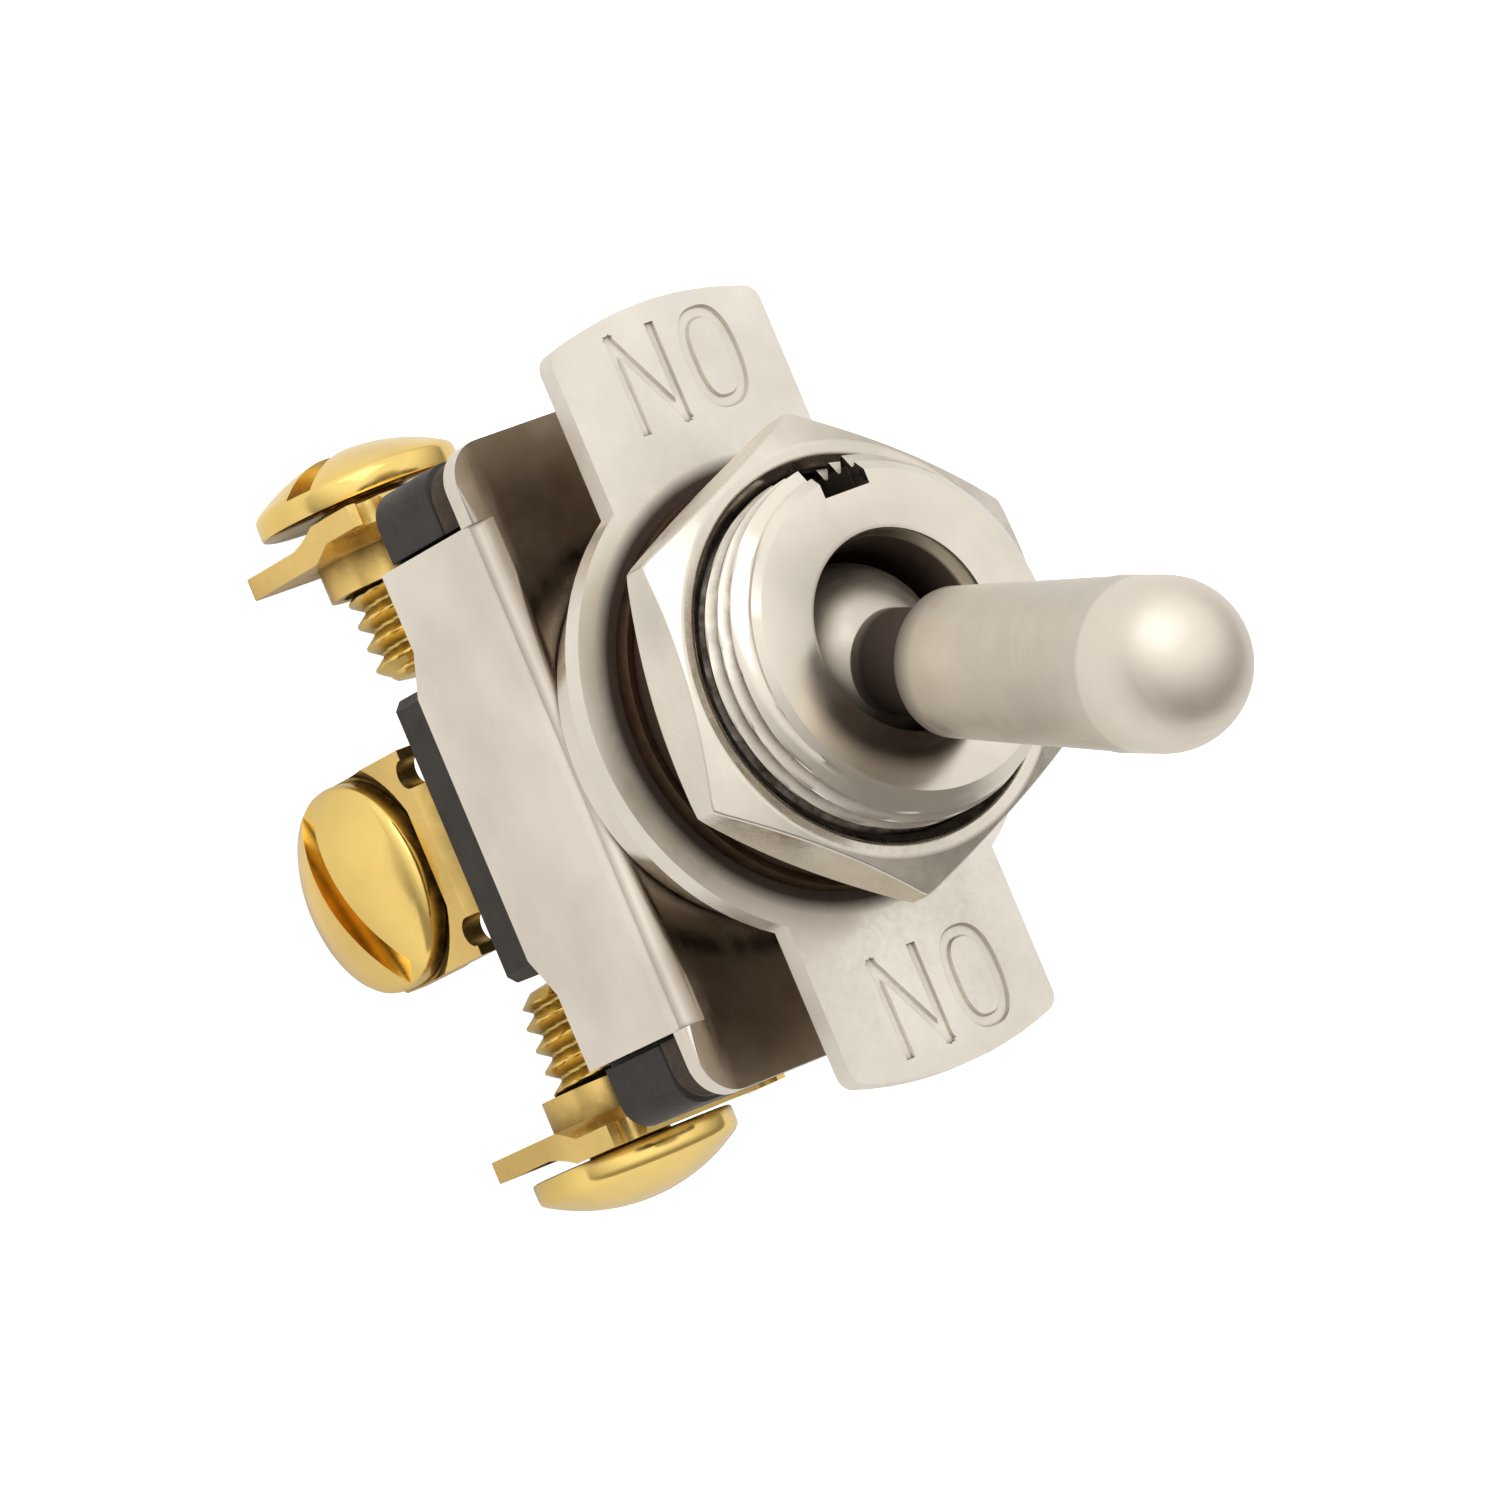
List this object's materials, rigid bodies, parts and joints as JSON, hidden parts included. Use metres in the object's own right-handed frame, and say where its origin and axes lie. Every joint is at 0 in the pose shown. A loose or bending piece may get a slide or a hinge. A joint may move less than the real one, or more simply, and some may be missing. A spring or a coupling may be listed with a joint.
{
  "type": "panel toggle switch",
  "caption": "Bat-handle toggle switch with threaded bushing, hex nut, ON legend plate, folded metal frame and brass screw terminals.",
  "frame": {"origin": "on the bushing's axis, in the middle of the free thread above the nut", "axes": "+Z along the bushing, out of the panel towards the lever; X is the way the lever swings, +X the side it is stored on; the centre terminal is on the -Y side"},
  "size_m": [0.0273, 0.0166, 0.0443],
  "materials": {
    "frame_steel": "satin nickel plate, grain along the walls",
    "insulating_card": "rough dark fibre card",
    "base_moulding": "blue-black phenolic moulding, dull",
    "bushing_nickel": "turned, nickel plated",
    "legend_metal": "satin",
    "washer_steel": "dull",
    "nut_nickel": "turned, nickel plated",
    "lever_nickel": "satin nickel plate",
    "pin_steel": "ground",
    "plunger_nylon": "natural nylon",
    "spring_steel": "drawn wire",
    "rocker_copper": "rolled copper strip",
    "contact_silver": "silver, slightly dull",
    "terminal_brass": "rolled brass, dull",
    "screw_brass": "brass plated, bright"
  },
  "bodies": {
    "housing": {"frame": "frame_steel", "insulator": "insulating_card", "base": "base_moulding", "bushing": "bushing_nickel", "legend_plate": "legend_metal", "lock_washer": "washer_steel", "lever_pin": "pin_steel", "fulcrum": "terminal_brass", "fixed_contact_minus_x": "contact_silver", "fixed_contact_plus_x": "contact_silver", "terminal_minus_x": "terminal_brass", "terminal_plus_x": "terminal_brass", "terminal_centre": "terminal_brass"},
    "nut": {"hex_nut": "nut_nickel"},
    "lever": {"lever": "lever_nickel", "plunger_spring": "spring_steel"},
    "plunger": {"plunger": "plunger_nylon"},
    "rocker": {"rocker": "rocker_copper", "moving_contact_minus_x": "contact_silver", "moving_contact_plus_x": "contact_silver"},
    "screw_minus_x": {"screw_minus_x": "screw_brass"},
    "screw_plus_x": {"screw_plus_x": "screw_brass"},
    "screw_centre": {"screw_centre": "screw_brass"}
  },
  "joints": [
    {"name": "lever_tilt", "type": "hinge", "parent": "housing", "child": "lever", "pos_m": [0, 0, -0.0024], "axis": [0, 1, 0], "range_deg": [-33, 0]},
    {"name": "rocker_tilt", "type": "hinge", "parent": "housing", "child": "rocker", "pos_m": [0, 0, -0.01425], "axis": [0, 1, 0], "range_deg": [0, 9]},
    {"name": "plunger_slide", "type": "slide", "parent": "lever", "child": "plunger", "axis": [0.284, 0, 0.9588], "range_m": [0, 0.0004], "stiffness_N_per_m": 150, "springref_m": -0.003, "deforming": ["plunger_spring"]},
    {"name": "nut_slide", "type": "slide", "parent": "housing", "child": "nut", "axis": [0, 0, 1], "range_m": [0, 0.002]},
    {"name": "screw_minus_x_slide", "type": "slide", "parent": "housing", "child": "screw_minus_x", "axis": [-1, 0, 0], "range_m": [0, 0.004]},
    {"name": "screw_plus_x_slide", "type": "slide", "parent": "housing", "child": "screw_plus_x", "axis": [1, 0, 0], "range_m": [0, 0.004]},
    {"name": "screw_centre_slide", "type": "slide", "parent": "housing", "child": "screw_centre", "axis": [0, -1, 0], "range_m": [0, 0.004]}
  ],
  "couplings": [
    {"joint": "rocker_tilt", "follows": "lever_tilt", "ratio": -0.27273}
  ]
}
